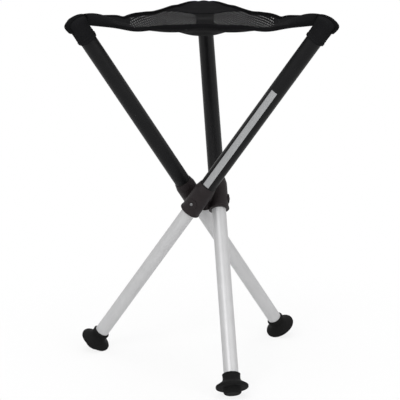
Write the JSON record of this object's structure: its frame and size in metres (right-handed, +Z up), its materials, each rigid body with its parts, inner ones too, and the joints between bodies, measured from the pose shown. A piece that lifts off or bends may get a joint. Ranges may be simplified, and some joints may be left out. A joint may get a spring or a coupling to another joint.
{
  "type": "telescopic tripod stool",
  "caption": "Folding stool: skew telescopic tube legs cross at a pivot hub, lock with push buttons, stand on flanged rubber feet and sling a mesh seat.",
  "frame": {"origin": "on the floor, straight under the hub's axis", "axes": "+Z up, -Y to the front edge of the seat, +X to the right seen from the front"},
  "size_m": [0.3881, 0.4154, 0.553],
  "materials": {
    "black_tube": "satin black powder coat on aluminium tube",
    "bright_tube": "satin natural anodised tube",
    "black_plastic": "moulded black plastic, fine grain",
    "bush_plastic": "plain natural acetal",
    "steel": "bright zinc",
    "rubber": "matte moulded rubber",
    "seat_mesh": "open black polyester mesh",
    "webbing": "black woven binding, stitched"
  },
  "bodies": {
    "hub": {"hub_core": "black_plastic", "pivot_bolt_rear": "steel", "pivot_bolt_left": "steel", "pivot_bolt_right": "steel", "seat_mesh": "seat_mesh", "corner_patch_rear": "webbing", "corner_patch_left": "webbing", "corner_patch_right": "webbing", "seat_hem_front": "webbing", "seat_hem_left": "webbing", "seat_hem_right": "webbing"},
    "upper_leg_rear": {"collar_rear": "black_plastic", "upper_tube_rear": "black_tube", "top_cap_rear": "black_plastic", "corner_pocket_rear": "webbing"},
    "lower_leg_rear": {"lower_tube_rear": "bright_tube", "guide_bush_rear": "bush_plastic", "snap_clip_rear": "steel", "foot_rear": "rubber"},
    "lock_button_rear": {"lock_button_rear": "steel"},
    "upper_leg_left": {"collar_left": "black_plastic", "upper_tube_left": "black_tube", "top_cap_left": "black_plastic", "corner_pocket_left": "webbing"},
    "lower_leg_left": {"lower_tube_left": "bright_tube", "guide_bush_left": "bush_plastic", "snap_clip_left": "steel", "foot_left": "rubber"},
    "lock_button_left": {"lock_button_left": "steel"},
    "upper_leg_right": {"collar_right": "black_plastic", "upper_tube_right": "black_tube", "top_cap_right": "black_plastic", "corner_pocket_right": "webbing"},
    "lower_leg_right": {"lower_tube_right": "bright_tube", "guide_bush_right": "bush_plastic", "snap_clip_right": "steel", "foot_right": "rubber"},
    "lock_button_right": {"lock_button_right": "steel"}
  },
  "joints": [
    {"name": "fold_rear", "type": "hinge", "parent": "hub", "child": "upper_leg_rear", "pos_m": [0.02433, 0.00289, 0.25814], "axis": [0.993, 0.1181, 0], "range_deg": [0, 25.3], "deforming": ["seat_mesh", "corner_patch_rear", "corner_patch_left", "corner_patch_right", "seat_hem_front", "seat_hem_left", "seat_hem_right"]},
    {"name": "fold_left", "type": "hinge", "parent": "hub", "child": "upper_leg_left", "pos_m": [-0.01467, 0.01962, 0.25814], "axis": [-0.5988, 0.8009, 0], "range_deg": [0, 25.3]},
    {"name": "fold_right", "type": "hinge", "parent": "hub", "child": "upper_leg_right", "pos_m": [-0.00966, -0.02252, 0.25814], "axis": [-0.3942, -0.919, 0], "range_deg": [0, 25.3]},
    {"name": "slide_rear", "type": "slide", "parent": "upper_leg_rear", "child": "lower_leg_rear", "axis": [-0.0699, 0.5879, 0.8059], "range_m": [0, 0.225], "deforming": ["snap_clip_rear"]},
    {"name": "slide_left", "type": "slide", "parent": "upper_leg_left", "child": "lower_leg_left", "axis": [-0.4742, -0.3545, 0.8059], "range_m": [0, 0.225], "deforming": ["snap_clip_left"]},
    {"name": "slide_right", "type": "slide", "parent": "upper_leg_right", "child": "lower_leg_right", "axis": [0.5441, -0.2334, 0.8059], "range_m": [0, 0.225], "deforming": ["snap_clip_right"]},
    {"name": "press_rear", "type": "slide", "parent": "upper_leg_rear", "child": "lock_button_rear", "axis": [-0.993, -0.1181, 0], "range_m": [0, 0.003], "stiffness_N_per_m": 1200, "springref_m": -0.002, "deforming": ["snap_clip_rear"]},
    {"name": "press_left", "type": "slide", "parent": "upper_leg_left", "child": "lock_button_left", "axis": [0.5988, -0.8009, 0], "range_m": [0, 0.003], "stiffness_N_per_m": 1200, "springref_m": -0.002, "deforming": ["snap_clip_left"]},
    {"name": "press_right", "type": "slide", "parent": "upper_leg_right", "child": "lock_button_right", "axis": [0.3942, 0.919, 0], "range_m": [0, 0.003], "stiffness_N_per_m": 1200, "springref_m": -0.002, "deforming": ["snap_clip_right"]}
  ],
  "couplings": [
    {"joint": "fold_left", "follows": "fold_rear", "ratio": 1},
    {"joint": "fold_right", "follows": "fold_rear", "ratio": 1}
  ]
}
